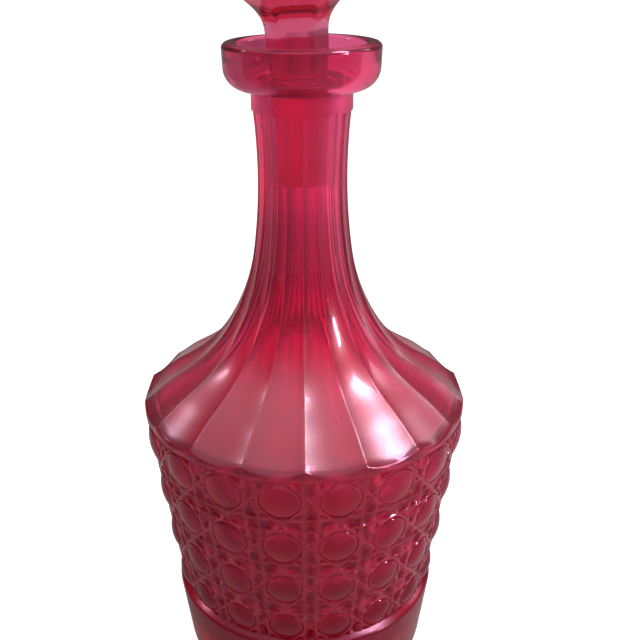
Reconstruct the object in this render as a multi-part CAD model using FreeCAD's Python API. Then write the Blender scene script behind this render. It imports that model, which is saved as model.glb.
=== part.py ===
import FreeCAD, Part
import math
import os

Vector = FreeCAD.Vector

# A pressed-glass liqueur decanter with its stopper: a collared mouth, a slender
# neck whose flutes spread over the shoulder, a tapered body covered with rows of
# round buttons, and a plain heavy foot. Millimetres and degrees. Z is up, the
# axis of the bottle is the Z axis and the foot stands on Z = 0.

# ---------------------------------------------------------------- driving sizes

# The whole bottle
bottle_height = 185.0           # foot to the top of the collar
flute_count = 18                # flutes round the neck, and columns of buttons

# Collar, a thick ring round the mouth
collar_radius = 20.2
collar_height = 11.9
collar_lean = 0.4               # the wall is this much narrower at its lower edge
collar_under_rise = 1.4         # the underside rises this much outwards
collar_under_round = 5.5
collar_edge_round = 1.4
collar_wall = 3.8               # glass between the collar and the cup of the mouth
mouth_depth = 8.8
mouth_lean = 1.4                # the cup is this much narrower at its floor
mouth_floor_fall = 1.6          # the floor falls this much towards the bore
mouth_round = 3.5

# Neck
neck_top_radius = 13.1          # the plain band under the collar
neck_band_height = 4.6
neck_band_round = 0.6           # inner corner between band and collar
neck_band_step = 0.35           # the flutes start this far inside the band
neck_taper = 0.1                # slope of the ridges where they start
waist_radius = 12.05
waist_drop = 26.5               # top of the collar to the start of the waist
waist_height = 12.0
neck_wall = 4.8                 # glass between the waist and the bore
bore_round = 0.8                # upper edge of the bore

# Shoulder: the line of the ridges, as shares of the way down from the waist to
# the lip and of the way out from the waist to the lip
flare_down = (0.204, 0.375, 0.538, 0.674, 0.775, 0.873, 0.935)
flare_out = (0.031, 0.087, 0.199, 0.352, 0.543, 0.809, 0.950)
flute_hollow = 0.07             # depth of a flute as a share of its width
flute_rings = 15                # sections that the fluted surface runs through
flare_slope = 0.6               # slope of the ridges where they end
flute_reach = 1.06              # the surface runs on this far past the lip

# Lip, the edge where the shoulder overhangs the body
lip_radius = 46.0
lip_drop = 99.8                 # top of the collar to the underside of the lip

# Body
lip_overhang = 0.5              # the lip stands out this far from the pattern's root
body_taper = 0.138              # loss of radius for each millimetre of drop
button_rows = 4
button_share = 0.47             # button radius as a share of its cell's smaller side
button_rise = 1.5               # crown of a button above the root
button_edge = 0.7               # upright edge of a button
button_root = 0.6               # a button reaches this share of the wall inwards
strip_share = 0.32              # strip between rows as a share of a cell's height
pattern_turn = 2.0              # the buttons stand this far round from the flutes
body_wall = 4.8                 # glass behind the root of the pattern

# Foot
foot_band_height = 26.6
foot_band_proud = 2.0           # the plain band stands out this far from the root
foot_band_round = 1.2
foot_taper = 0.126
foot_round = 8.0
foot_floor = 10.0               # thickness of glass under the hollow
floor_round = 9.0               # corner of the hollow at its floor
foot_flat = 4.0                 # width of the ring that the bottle stands on
kick_depth = 1.5                # shallow hollow inside that ring

# Stopper
shank_length = 24.8
shank_taper = 0.05              # loss of radius for each millimetre of length
shank_clearance = 0.12
shank_edge = 0.8                # rounding of its lower edge
shank_shoulder = 0.48           # rounding of its upper edge
stem_sides = 6
stem_lean = 2.9                 # the stem was drawn a little to one side
stem_offset = 0.6               # and stands this far off the middle of the shank
stem_inset = 1.28               # its corners start this far inside the shank's edge
stem_sink = 1.6                 # the stem starts this far down in the shank
stem_heights = (6.0, 13.3, 15.4, 17.2, 19.0, 20.9, 23.0, 25.6, 28.6)
stem_radii = (7.9, 8.1, 8.5, 9.4, 10.9, 12.9, 15.0, 16.9, 18.0)
stem_slope = 0.25               # slope of the flats where they end
crown_heights = (4.0, 10.0, 13.5)
crown_radii = (18.2, 14.2, 8.6)

# ---------------------------------------------------------------- derived sizes

pitch = 360.0 / flute_count
rim = bottle_height
lip_bottom = rim - lip_drop
mouth_radius = collar_radius - collar_wall
body_top_radius = lip_radius - lip_overhang
flute_top = rim - collar_height - neck_band_height
waist_top = rim - waist_drop
waist_bottom = waist_top - waist_height
mouth_floor = rim - mouth_depth
bore_top = mouth_floor - mouth_floor_fall
shank_bottom = bore_top - shank_length
bore_bottom_radius = waist_radius - neck_wall


def flare_points():
    """Radius and height of each point of the line of the ridges below the waist."""
    drop = waist_bottom - lip_bottom
    spread = lip_radius - waist_radius
    return [(waist_radius + out * spread, waist_bottom - down * drop)
            for down, out in zip(flare_down, flare_out)]


def root_radius(height):
    """Radius of the body at the root of the pattern."""
    return body_top_radius - body_taper * (lip_bottom - height)


def bore_radius(height):
    """Radius of the ground bore that the stopper sits in."""
    return bore_bottom_radius + shank_taper * (height - shank_bottom)


# ---------------------------------------------------------------------- helpers


def at(radius, height):
    """A point of an outline, in the plane of X and Z."""
    return Vector(radius, 0.0, height)


def rounded_outline(corners):
    """Edges through (radius, height, rounding) corners, with tangent arcs."""
    edges = []
    start = at(*corners[0][:2])
    for i in range(1, len(corners) - 1):
        corner = at(*corners[i][:2])
        rounding = corners[i][2]
        back = at(*corners[i - 1][:2]) - corner
        ahead = at(*corners[i + 1][:2]) - corner
        back.normalize()
        ahead.normalize()
        half = back.getAngle(ahead) / 2.0
        if rounding <= 0.0:
            edges.append(Part.makeLine(start, corner))
            start = corner
            continue
        reach = rounding / math.tan(half)
        bisector = back + ahead
        bisector.normalize()
        middle = corner + bisector * (rounding / math.sin(half) - rounding)
        first = corner + back * reach
        last = corner + ahead * reach
        edges.append(Part.makeLine(start, first))
        edges.append(Part.Arc(first, middle, last).toShape())
        start = last
    edges.append(Part.makeLine(start, at(*corners[-1][:2])))
    return edges


def turned(edges):
    """A solid of revolution about Z from the edges of a closed outline."""
    wire = Part.Wire(Part.__sortEdges__(edges))
    return Part.Face(wire).revolve(Vector(0, 0, 0), Vector(0, 0, 1), 360)


def spline(points, first_direction, last_direction):
    """A smooth curve through points that starts and ends in given directions."""
    curve = Part.BSplineCurve()
    curve.interpolate(Points=points, InitialTangent=first_direction,
                      FinalTangent=last_direction)
    return curve


def cap_middle(radius, rise):
    """The point half way along the arc of a low cap, from its crown at height 0."""
    ball = (radius ** 2 + rise ** 2) / (2.0 * rise)
    half = math.asin(radius / ball) / 2.0
    return at(ball * math.sin(half), ball * (math.cos(half) - 1.0))


def only_solid(shape):
    """The one solid of a shape, with its split faces joined up again."""
    solids = shape.removeSplitter().Solids
    if len(solids) != 1:
        raise ValueError("expected one solid, got %d" % len(solids))
    return solids[0]


# ------------------------------------------------------------ ridges and flutes


def ridge_curve():
    """The line of a ridge: down the waist, then out over the shoulder."""
    points = [at(neck_top_radius - neck_band_step, flute_top),
              at(waist_radius, waist_top),
              at(waist_radius, waist_bottom)]
    for radius, height in flare_points():
        points.append(at(radius, height))
    points.append(at(lip_radius * flute_reach, lip_bottom))
    return spline(points, Vector(-neck_taper, 0, -1), Vector(flare_slope, 0, -1))


def fluted_section(radius, height):
    """A closed ring of hollow arcs whose points touch the given radius."""
    half = math.radians(pitch / 2.0)
    width = 2.0 * radius * math.sin(half)
    valley = radius * math.cos(half) - flute_hollow * width
    arcs = []
    for i in range(flute_count):
        turns = [math.radians(-90.0 + pitch * (i + part)) for part in (0.0, 0.5, 1.0)]
        radii = (radius, valley, radius)
        ends = [Vector(r * math.cos(t), r * math.sin(t), height)
                for r, t in zip(radii, turns)]
        arcs.append(Part.Arc(*ends).toShape())
    return Part.Wire(arcs)


def flute_cutter():
    """Everything round the neck and shoulder that the flutes leave away."""
    curve = ridge_curve()
    first, last = curve.FirstParameter, curve.LastParameter
    rings = []
    for i in range(flute_rings):
        point = curve.value(first + (last - first) * i / (flute_rings - 1))
        rings.append(fluted_section(point.x, point.z))
    bell = Part.makeLoft(rings, True, False)
    block = Part.makeCylinder(2.0 * lip_radius, flute_top - lip_bottom,
                              Vector(0, 0, lip_bottom))
    return block.cut(bell)


# ----------------------------------------------------------------- bottle parts


def blank():
    """The turned outside of the bottle, before flutes and buttons."""
    band_top = foot_band_height
    band_top_radius = root_radius(band_top) + foot_band_proud
    foot_radius = band_top_radius - foot_taper * band_top
    collar_bottom = rim - collar_height
    kick_radius = foot_radius - foot_round - foot_flat
    shoulder_start = flare_points()[-1][1]
    corners = [
        (kick_radius, 0.0, 0.0),
        (foot_radius, 0.0, foot_round),
        (band_top_radius, band_top, foot_band_round),
        (root_radius(band_top), band_top + foot_band_round, 0.0),
        (body_top_radius, lip_bottom, 0.0),
        (lip_radius, lip_bottom + (lip_radius - body_top_radius), 0.0),
        (lip_radius, shoulder_start, 0.0),
        (neck_top_radius + neck_band_step, flute_top, 0.0),
        (neck_top_radius, flute_top, 0.0),
        (neck_top_radius, collar_bottom, neck_band_round),
        (collar_radius - collar_lean, collar_bottom + collar_under_rise,
         collar_under_round),
        (collar_radius, rim, collar_edge_round),
        (0.0, rim, 0.0),
    ]
    edges = rounded_outline(corners)
    kick_top = at(0.0, kick_depth)
    kick_middle = kick_top + cap_middle(kick_radius, kick_depth)
    edges.append(Part.Arc(kick_top, kick_middle, at(kick_radius, 0.0)).toShape())
    edges.append(Part.makeLine(at(0.0, rim), kick_top))
    return turned(edges)


def hollow():
    """The space inside the bottle, out to above the mouth."""
    above = rim + collar_height
    mouth = rounded_outline([
        (0.0, above, 0.0),
        (mouth_radius + collar_edge_round, above, 0.0),
        (mouth_radius + collar_edge_round, rim + collar_edge_round, 0.0),
        (mouth_radius, rim - collar_edge_round, collar_edge_round),
        (mouth_radius - mouth_lean, mouth_floor, mouth_round),
        (bore_radius(bore_top), bore_top, bore_round),
        (bore_radius(shank_bottom), shank_bottom, 0.0),
    ])
    points = [at(bore_radius(shank_bottom), shank_bottom)]
    ridge = ridge_curve()
    for out, (radius, height) in zip(flare_out, flare_points()):
        along = ridge.tangent(ridge.parameter(at(radius, height)))[0]
        inward = Vector(along.z, 0, -along.x)
        wall = neck_wall + (body_wall - neck_wall) * out
        points.append(at(radius, height) + inward * wall)
    wall_top = lip_bottom - body_wall / 2.0
    points.append(at(root_radius(wall_top) - body_wall, wall_top))
    inside = spline(points, Vector(0, 0, -1), Vector(-body_taper, 0, -1))
    floor = rounded_outline([
        (root_radius(wall_top) - body_wall, wall_top, 0.0),
        (root_radius(foot_floor) - body_wall, foot_floor, floor_round),
        (0.0, foot_floor, 0.0),
    ])
    axis = [Part.makeLine(at(0.0, foot_floor), at(0.0, above))]
    return turned(mouth + [inside.toShape()] + floor + axis)


def button_cells():
    """Middle height and cell height of each row, from under the lip downwards."""
    top = lip_bottom
    space = lip_bottom - foot_band_height - foot_band_round
    step = space / button_rows
    weights = [root_radius(top - step * (row + 0.5)) for row in range(button_rows)]
    parts = sum(weights) + strip_share * sum(weights[:-1])
    cells = []
    for weight in weights:
        height = space * weight / parts
        cells.append((top - height / 2.0, height))
        top -= height * (1.0 + strip_share)
    return cells


def button(radius):
    """A low dome on an upright edge, standing on Z = 0 and facing up."""
    sunk = body_wall * button_root
    crown = at(0.0, button_rise)
    flank = crown + cap_middle(radius, button_rise - button_edge)
    return turned([
        Part.makeLine(at(0.0, -sunk), at(radius, -sunk)),
        Part.makeLine(at(radius, -sunk), at(radius, button_edge)),
        Part.Arc(at(radius, button_edge), flank, crown).toShape(),
        Part.makeLine(crown, at(0.0, -sunk)),
    ])


def buttons():
    """Every button of the body, each square to the tapered wall."""
    lean = math.degrees(math.atan(body_taper))
    pieces = []
    for middle, height in button_cells():
        width = 2.0 * math.pi * root_radius(middle) / flute_count
        piece = button(min(width, height) * button_share)
        piece.rotate(Vector(0, 0, 0), Vector(0, 1, 0), 90.0 + lean)
        piece.translate(Vector(root_radius(middle), 0, middle))
        for column in range(flute_count):
            turn = -90.0 + pitch * (column + 0.5) + pattern_turn
            copy = piece.copy()
            copy.rotate(Vector(0, 0, 0), Vector(0, 0, 1), turn)
            pieces.append(copy)
    return pieces


def decanter():
    """The bottle, one piece of glass."""
    outside = blank().cut(flute_cutter())
    outside = outside.multiFuse(buttons())
    return only_solid(outside.cut(hollow()))


# ---------------------------------------------------------------------- stopper


def stem_and_head():
    """Flat-sided stem and head: what every pair of opposite flats has in common."""
    flat = math.cos(math.pi / stem_sides)
    root = bore_top - stem_sink
    start_radius = bore_radius(bore_top) - shank_clearance - stem_inset
    start = at(start_radius * flat, root)
    points = [start]
    for height, radius in zip(stem_heights, stem_radii):
        points.append(at(radius * flat, bore_top + height))
    side = spline(points, Vector(0, 0, 1), Vector(stem_slope, 0, 1)).toShape()
    girdle = bore_top + stem_heights[-1]
    corners = [points[-1]]
    for height, radius in zip(crown_heights, crown_radii):
        corners.append(at(radius * flat, girdle + height))
    corners.append(at(0.0, girdle + crown_heights[-1]))
    right = [side] + [Part.makeLine(*pair) for pair in zip(corners, corners[1:])]
    right.append(Part.makeLine(at(0.0, root), start))
    left = [edge.mirror(Vector(0, 0, 0), Vector(1, 0, 0)) for edge in right]
    face = Part.Face(Part.Wire(Part.__sortEdges__(right + left)))
    depth = 4.0 * crown_radii[0]
    face.translate(Vector(0, -depth / 2.0, 0))
    slab = face.extrude(Vector(0, depth, 0))
    solid = slab
    for turn in range(1, stem_sides // 2):
        other = slab.copy()
        other.rotate(Vector(0, 0, 0), Vector(0, 0, 1), turn * 360.0 / stem_sides)
        solid = solid.common(other)
    solid.rotate(Vector(0, 0, 0), Vector(0, 0, 1), 180.0 / stem_sides)
    solid.rotate(at(0.0, bore_top), Vector(0, 1, 0), -stem_lean)
    solid.translate(Vector(-stem_offset, 0, 0))
    return solid


def stopper():
    """The tapered shank with the leaning, flat-sided stem and head on it."""
    top_radius = bore_radius(bore_top) - shank_clearance
    bottom_radius = bore_radius(shank_bottom) - shank_clearance
    shank = turned(rounded_outline([
        (0.0, bore_top, 0.0),
        (top_radius, bore_top, shank_shoulder),
        (bottom_radius, shank_bottom, shank_edge),
        (0.0, shank_bottom, 0.0),
    ]) + [Part.makeLine(at(0.0, shank_bottom), at(0.0, bore_top))])
    return only_solid(shank.fuse(stem_and_head()))


# ------------------------------------------------------------------------ build


def main():
    os.makedirs("parts", exist_ok=True)
    for name, make in (("decanter", decanter), ("stopper", stopper)):
        shape = make()
        shape.exportStep("parts/%s.step" % name)
        box = shape.BoundBox
        print("%-9s volume %.1f cm3, box %.1f..%.1f %.1f..%.1f %.1f..%.1f, %d faces, valid %s"
              % (name, shape.Volume / 1000.0, box.XMin, box.XMax, box.YMin, box.YMax,
                 box.ZMin, box.ZMax, len(shape.Faces), shape.isValid()))


main()
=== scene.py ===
# %% [markdown]
# # A ruby liqueur decanter in pressed glass
#
# The decanter has two loose pieces of ruby glass: the bottle, and a ground stopper that rests
# in its neck. A stopper and a bottle are both hard glass, so their sizes come from the packed
# solids, and this lesson only gives them their finer relief and their finish. It shows how a
# bottle can be made from one narrow slice, how Geometry Nodes repeat the slice round the axis,
# and how clear coloured glass is lit on a white ground.

# %% Load the solids
import math

import bmesh
import bpy
import numpy as np
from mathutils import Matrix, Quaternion, Vector
from mathutils.geometry import delaunay_2d_cdt


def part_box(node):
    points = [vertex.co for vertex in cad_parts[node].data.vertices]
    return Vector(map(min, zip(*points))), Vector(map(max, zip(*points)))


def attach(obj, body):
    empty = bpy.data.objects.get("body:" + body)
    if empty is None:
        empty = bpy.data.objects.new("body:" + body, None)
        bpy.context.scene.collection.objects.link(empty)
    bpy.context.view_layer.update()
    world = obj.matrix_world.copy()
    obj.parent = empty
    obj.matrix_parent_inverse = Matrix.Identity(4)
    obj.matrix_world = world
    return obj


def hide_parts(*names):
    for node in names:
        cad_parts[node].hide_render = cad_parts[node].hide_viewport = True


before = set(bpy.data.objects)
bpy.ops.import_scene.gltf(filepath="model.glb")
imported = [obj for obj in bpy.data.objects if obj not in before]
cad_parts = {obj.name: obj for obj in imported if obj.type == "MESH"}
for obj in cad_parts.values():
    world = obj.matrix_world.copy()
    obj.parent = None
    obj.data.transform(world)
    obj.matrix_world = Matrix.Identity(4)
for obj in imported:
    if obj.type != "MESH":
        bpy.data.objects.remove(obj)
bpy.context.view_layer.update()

bottle_low, bottle_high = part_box("decanter")
stopper_low, stopper_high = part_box("stopper")
print("bottle %.1f mm high, %.1f mm wide" % (bottle_high.z * 1000, 2000 * bottle_high.x))
print("stopper reaches from %.1f to %.1f mm" % (stopper_low.z * 1000, stopper_high.z * 1000))

# %% [markdown]
# ## Sizes
#
# Glass makers think in millimetres, so the outlines below are in millimetres, and one factor
# turns them into Blender's metres when a mesh is made. Heights are counted from the foot. The
# height of the rim is read from the bottle's own box.

# %% Sizes of the bottle
MM = 0.001
rim = bottle_high.z / MM
flute_count = 18
pitch = 360.0 / flute_count
first_ridge = -90.0

neck_band = {"radius": 13.1, "bottom": rim - 16.5, "top": rim - 11.9}
waist_radius = 12.05
waist_top = rim - 26.5
waist_bottom = rim - 38.5
lip = {"radius": 46.0, "bottom": rim - 99.8, "bead": 1.0}
body = {"top_radius": 45.5, "taper": 0.138, "wall": 4.8}
foot = {"band_top": 26.6, "proud": 2.0, "round": 1.2, "taper": 0.126, "corner": 8.0}
foot.update({"floor": 10.0, "inside_corner": 9.0, "flat": 4.0, "kick": 1.5})
flute_hollow = 0.07
band_step = 0.35                # how far the band stands proud of the ridges under it
ridge_overrun = 1.06            # the ridge line runs on past the lip, which cuts it off
flare_down = (0.204, 0.375, 0.538, 0.674, 0.775, 0.873, 0.935)
flare_out = (0.031, 0.087, 0.199, 0.352, 0.543, 0.809, 0.950)
neck_wall = 4.8
bore_top = rim - 10.4
shank_length = bore_top - stopper_low.z / MM
bore_top_radius = 8.6
bore_taper = 0.05
bore_bottom_radius = bore_top_radius - bore_taper * shank_length
shank_clearance = 0.12


def root_radius(height):
    """Radius of the body under its relief."""
    return body["top_radius"] - body["taper"] * (lip["bottom"] - height)


print("flutes every %.0f degrees, lip at %.1f mm" % (pitch, lip["bottom"]))

# %% [markdown]
# ## Outlines
#
# A turned shape needs only its half outline. Two helpers draw it. The first goes through
# corners and rounds each with an arc, which is how a mould maker would draw the collar and
# the foot. The second lays one smooth line through a few points, for the long sweep from the
# neck to the lip, where no arc fits.


# %% Helpers for outlines
def rounded(corners, turn=9.0):
    """Points through (radius, height, rounding) corners, with an arc at each rounding."""
    points = [tuple(corners[0][:2])]
    for before, corner, after in zip(corners, corners[1:], corners[2:]):
        here = Vector(corner[:2])
        back = (Vector(before[:2]) - here).normalized()
        ahead = (Vector(after[:2]) - here).normalized()
        rounding = corner[2]
        half = back.angle(ahead) / 2.0
        if rounding <= 0.0:
            points.append(tuple(here))
            continue
        centre = here + (back + ahead).normalized() * (rounding / math.sin(half))
        start = here + back * (rounding / math.tan(half)) - centre
        sweep = math.pi - 2.0 * half
        side = 1.0 if back.cross(ahead) < 0.0 else -1.0
        steps = max(2, math.ceil(math.degrees(sweep) / turn))
        for i in range(steps + 1):
            angle = side * sweep * i / steps
            x = start.x * math.cos(angle) - start.y * math.sin(angle)
            y = start.x * math.sin(angle) + start.y * math.cos(angle)
            points.append((centre.x + x, centre.y + y))
    points.append(tuple(corners[-1][:2]))
    return points


def smooth_line(points, first, last):
    """A smooth line through points, as a function of a share from 0 to 1 that gives a point
    and a direction, and the share at each of the points."""
    knots = np.array(points, float)
    steps = np.linalg.norm(np.diff(knots, axis=0), axis=1)
    at = np.concatenate([[0.0], np.cumsum(steps)])
    count = len(knots)
    matrix = np.eye(count)
    right = np.zeros((count, 2))
    right[0] = np.array(first) / np.linalg.norm(first)
    right[-1] = np.array(last) / np.linalg.norm(last)
    for i in range(1, count - 1):
        matrix[i, i - 1:i + 2] = steps[i], 2.0 * (steps[i - 1] + steps[i]), steps[i - 1]
        rise_before = (knots[i] - knots[i - 1]) / steps[i - 1]
        rise_after = (knots[i + 1] - knots[i]) / steps[i]
        right[i] = 3.0 * (steps[i] * rise_before + steps[i - 1] * rise_after)
    slopes = np.linalg.solve(matrix, right)

    def line(share):
        where = min(max(share, 0.0), 1.0) * at[-1]
        i = min(int(np.searchsorted(at, where, side="right")) - 1, count - 2)
        h = steps[i]
        t = (where - at[i]) / h
        a, b, p, q = knots[i], knots[i + 1], slopes[i] * h, slopes[i + 1] * h
        point = (1 + 2 * t) * (1 - t) ** 2 * a + t * (1 - t) ** 2 * p
        point = point + t * t * (3 - 2 * t) * b + t * t * (t - 1) * q
        way = 6 * t * (t - 1) * (a - b) + (1 - t) * (1 - 3 * t) * p + t * (3 * t - 2) * q
        return point, way / np.linalg.norm(way)

    return line, at / at[-1]


def flare_points():
    """Points of the ridge line below the waist, from shares down and out."""
    drop = waist_bottom - lip["bottom"]
    spread = lip["radius"] - waist_radius
    return [(waist_radius + out * spread, waist_bottom - down * drop)
            for down, out in zip(flare_down, flare_out)]


ridge_points = [(neck_band["radius"] - band_step, neck_band["bottom"])]
ridge_points += [(waist_radius, waist_top), (waist_radius, waist_bottom)]
ridge_points += flare_points() + [(lip["radius"] * ridge_overrun, lip["bottom"])]
ridge_line, ridge_knots = smooth_line(ridge_points, (-0.1, -1.0), (0.6, -1.0))
print("ridge line through %d points" % len(ridge_points))

# %% [markdown]
# ## The upper slice: lip, flutes, neck and collar
#
# A slice is one flute wide. Each column of the slice stands at one angle, and its points run
# from the lip up the shoulder and neck, round the collar, into the mouth and down inside the
# bottle. A flute is hollow, an arc between two ridges, so a column in the middle of the slice
# lies a little further in. It also reaches the lip a little lower, which gives the lip its
# scalloped edge without any extra work. A small round bead runs along that edge.


# %% Radius of a flute
def flute_radius(ridge, turn):
    """Radius of the hollow flute at an angle from its middle, between ridges of a radius."""
    half = math.radians(pitch / 2.0)
    valley = ridge * (math.cos(half) - flute_hollow * 2.0 * math.sin(half))
    centre = (ridge ** 2 - valley ** 2) / (2.0 * (ridge * math.cos(half) - valley))
    arc = centre - valley
    angle = math.radians(turn)
    return centre * math.cos(angle) - math.sqrt(arc ** 2 - (centre * math.sin(angle)) ** 2)


def share_at_lip(turn, radius):
    """How far along the ridge line a column reaches the lip."""
    low, high = 0.5, 1.0
    for _ in range(40):
        middle = (low + high) / 2.0
        point, _way = ridge_line(middle)
        if flute_radius(point[0], turn) < radius:
            low = middle
        else:
            high = middle
    return low


# %% Columns of the upper slice
flute_rows = 40
column_step = 2.0
beside_ridge = (0.35, 1.0)
lip_chamfer = 0.12
lip_face = 0.3
bead_steps = 4
bead_turn = math.radians(75.0)


def ring_turns():
    """Angles of the columns: evenly spaced, and closer together beside each ridge."""
    turns = [column_step * i for i in range(int(pitch / column_step) + 1)]
    turns += list(beside_ridge) + [pitch - turn for turn in beside_ridge]
    return sorted(turns)


def lip_and_flute(turn):
    """Points of a column from the lip's underside up to the band of the neck."""
    bead = lip["bead"]
    bead_end = lip["radius"] - bead * (1.0 - math.cos(bead_turn))
    end = share_at_lip(turn - pitch / 2.0, bead_end)
    top_point, _way = ridge_line(end)
    centre = lip["radius"] - bead, top_point[1] - bead * math.sin(bead_turn)
    points = [(body["top_radius"], lip["bottom"])]
    points.append((lip["radius"] - lip_chamfer, lip["bottom"] + lip_chamfer))
    points.append((lip["radius"], lip["bottom"] + lip_face))
    for i in range(bead_steps):
        angle = bead_turn * i / bead_steps
        points.append((centre[0] + bead * math.cos(angle), centre[1] + bead * math.sin(angle)))
    for i in range(flute_rows + 1):
        share = end * (1.0 - i / flute_rows)
        point, _way = ridge_line(share)
        points.append((flute_radius(point[0], turn - pitch / 2.0), point[1]))
    return points


print("%d columns in a slice" % len(ring_turns()))

# %% Collar and mouth
collar_form = {"radius": 20.2, "foot_radius": 19.8, "foot_rise": 1.4, "under": 5.5, "edge": 1.4}
mouth = {"radius": 16.4, "bottom_radius": 15.0, "depth": 8.8, "cup": 3.5}
collar = rounded([
    (neck_band["radius"], neck_band["bottom"], 0.0),
    (neck_band["radius"], neck_band["top"], 0.6),
    (collar_form["foot_radius"], neck_band["top"] + collar_form["foot_rise"],
     collar_form["under"]),
    (collar_form["radius"], rim, collar_form["edge"]),
    (mouth["radius"], rim, collar_form["edge"]),
    (mouth["bottom_radius"], rim - mouth["depth"], mouth["cup"]),
    (bore_top_radius, bore_top, 0.8),
    (bore_bottom_radius, bore_top - shank_length, 0.0),
])
print("collar %.1f mm across, mouth %.1f mm" % (2 * collar_form["radius"], 2 * mouth["radius"]))

# %% [markdown]
# Inside, the neck and shoulder follow the ridges outside at the thickness of the wall, measured
# square to the surface. The inside is smooth: only the outside of a pressed bottle touches the
# pattern of the mould.

# %% Inner wall
inner_rows = 28


def inner_wall():
    """Points down the inside, from the bore to the middle of the floor."""
    inside = [(bore_bottom_radius, bore_top - shank_length)]
    for out, knot in zip(flare_out, ridge_knots[3:-1]):
        point, way = ridge_line(knot)
        wall = neck_wall + (body["wall"] - neck_wall) * out
        inside.append((point[0] + way[1] * wall, point[1] - way[0] * wall))
    top = lip["bottom"] - body["wall"] / 2.0
    inside.append((root_radius(top) - body["wall"], top))
    line, _knots = smooth_line(inside, (0.0, -1.0), (-body["taper"], -1.0))
    points = [tuple(line(i / inner_rows)[0]) for i in range(1, inner_rows)]
    points += rounded([
        (root_radius(top) - body["wall"], top, 0.0),
        (root_radius(foot["floor"]) - body["wall"], foot["floor"], foot["inside_corner"]),
        (0.0, foot["floor"], 0.0),
    ])
    return points


inner = inner_wall()
print("inner wall: %d points" % len(inner))

# %% [markdown]
# ## The pattern of the body
#
# The relief is a cane pattern: round buttons in four rows, strips between the columns and
# rows, and slanting lines that cross in the strips. All lines are fine crests, and what lies
# between them is a small pit. Crests have to be crisp, so the flat pattern is first drawn as
# points and edges along every crest and circle, and Blender's triangulation fills the rest.
# A height rule then lifts each point: crests up, pits down, buttons into domes. The pattern
# stands two degrees round from the flutes, as it came from another part of the mould.

# %% Sizes of the pattern
pattern_turn = 2.0
row_count = 4
strip_share = 0.32
pattern_top = lip["bottom"]
pattern_bottom = foot["band_top"] + foot["round"]
strip_half = 2.5
crest_half = 0.16
crest_rise = 0.5
pit_depth = 0.9
pit_run = 1.5
button_rise = 1.5
button_edge = 0.62
button_flank = 0.45
button_gap = 0.05               # between the foot of a button and the slanting lines round it
moat_share = 0.45               # depth of the moat round a button, as a share of a pit's
# The rim of a button is painted lighter as a highlight, and is a little rougher where worn.
rim_start = 0.9                 # where the worn rim of a button starts, as a share of its crown
edge_fade = 0.5


def pattern_rows():
    """Top and bottom of each row of cells, from under the lip downwards."""
    space = pattern_top - pattern_bottom
    weights = [root_radius(pattern_top - space * (row + 0.5) / row_count)
               for row in range(row_count)]
    parts = sum(weights) + strip_share * sum(weights[:-1])
    rows, top = [], pattern_top
    for weight in weights:
        height = space * weight / parts
        rows.append((top, top - height))
        top -= height * (1.0 + strip_share)
    return rows


rows = pattern_rows()
print("rows %s" % ", ".join("%.1f to %.1f" % row for row in rows))


# %% Lines and circles of the pattern
def button_radius(row):
    """Radius at the foot of a button: it fits inside the slanting lines round it."""
    top, bottom = rows[row]
    middle = (top + bottom) / 2.0
    wide = math.radians(pitch / 2.0) * root_radius(middle)
    high = (top - bottom) * (1.0 + strip_share) / 2.0
    return wide * high / math.hypot(wide, high) - crest_half - button_gap


def crest_lines():
    """Every straight crest as ((turn, height), (turn, height)) in one column."""
    half = pitch / 2.0
    side = half - strip_half
    found = [((x, pattern_top), (x, pattern_bottom)) for x in (-side, side)]
    for upper, lower in zip(rows, rows[1:]):
        found += [((-half, height), (half, height)) for height in (upper[1], lower[0])]
    for top, bottom in rows:
        middle = (top + bottom) / 2.0
        reach = (top - bottom) * (1.0 + strip_share) / 2.0
        for x in (-half, half):
            found += [((x, middle), (0.0, middle + way)) for way in (reach, -reach)]
    return found


lines = crest_lines()
print("%d straight crests in a column" % len(lines))


# %% [markdown]
# The height rule needs the distance from a point to the nearest crest. Angles are turned to
# millimetres with the radius at that height, because a degree is shorter lower down, where the
# body is narrower.


# %% Height of the relief
def crest_distance(x, z):
    """Distance in millimetres from a point to the nearest straight crest."""
    scale = math.radians(1.0) * root_radius(z)
    best = 99.0
    for (x0, z0), (x1, z1) in lines:
        ax, ay = (x - x0) * scale, z - z0
        bx, by = (x1 - x0) * scale, z1 - z0
        along = min(max((ax * bx + ay * by) / (bx * bx + by * by), 0.0), 1.0)
        best = min(best, math.hypot(ax - along * bx, ay - along * by))
    return best


def relief(x, z):
    """Height above the root, how much of a crest a point is, which is painted lighter, and how much
    painted shade it takes in a pit, each from 0 to 1.
    """
    fade = min(1.0, (pattern_top - z) / edge_fade, (z - pattern_bottom) / edge_fade)
    fade = max(fade, 0.0)
    for row, (top, bottom) in enumerate(rows):
        middle = (top + bottom) / 2.0
        radius = button_radius(row)
        away = math.hypot(x * math.radians(1.0) * root_radius(middle), z - middle)
        if away <= radius + 0.01:
            crown = radius - button_flank
            if away > crown + 0.01:
                # The flank and moat of a button take half of a pit's painted shade.
                return (crest_rise - pit_depth * moat_share) * fade, 0.0, 0.5
            dome = button_rise - (button_rise - button_edge) * (away / crown) ** 2
            # The rim of the crown is painted lighter as a highlight, through its crest value.
            rim_mask = max(0.0, (away / crown - rim_start) / (1.0 - rim_start))
            return dome * fade, 0.8 * rim_mask, 0.0
    away = max(crest_distance(x, z) - crest_half, 0.0)
    share = min(away / pit_run, 1.0)
    fall = pit_depth * (1.0 - (1.0 - share) ** 2)
    return (crest_rise - fall) * fade, 1.0 if away < 0.02 else 0.0, share


print("relief at the middle of the top button: %.2f mm" % relief(0.0, sum(rows[0]) / 2.0)[0])


# %% [markdown]
# The net of points has to follow each crest on both sides and each button in rings. Crests run
# off the sides of the column, so their ends are moved exactly onto the side, and both sides get
# points at the same heights. Neighbouring columns then weld without a gap.


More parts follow.
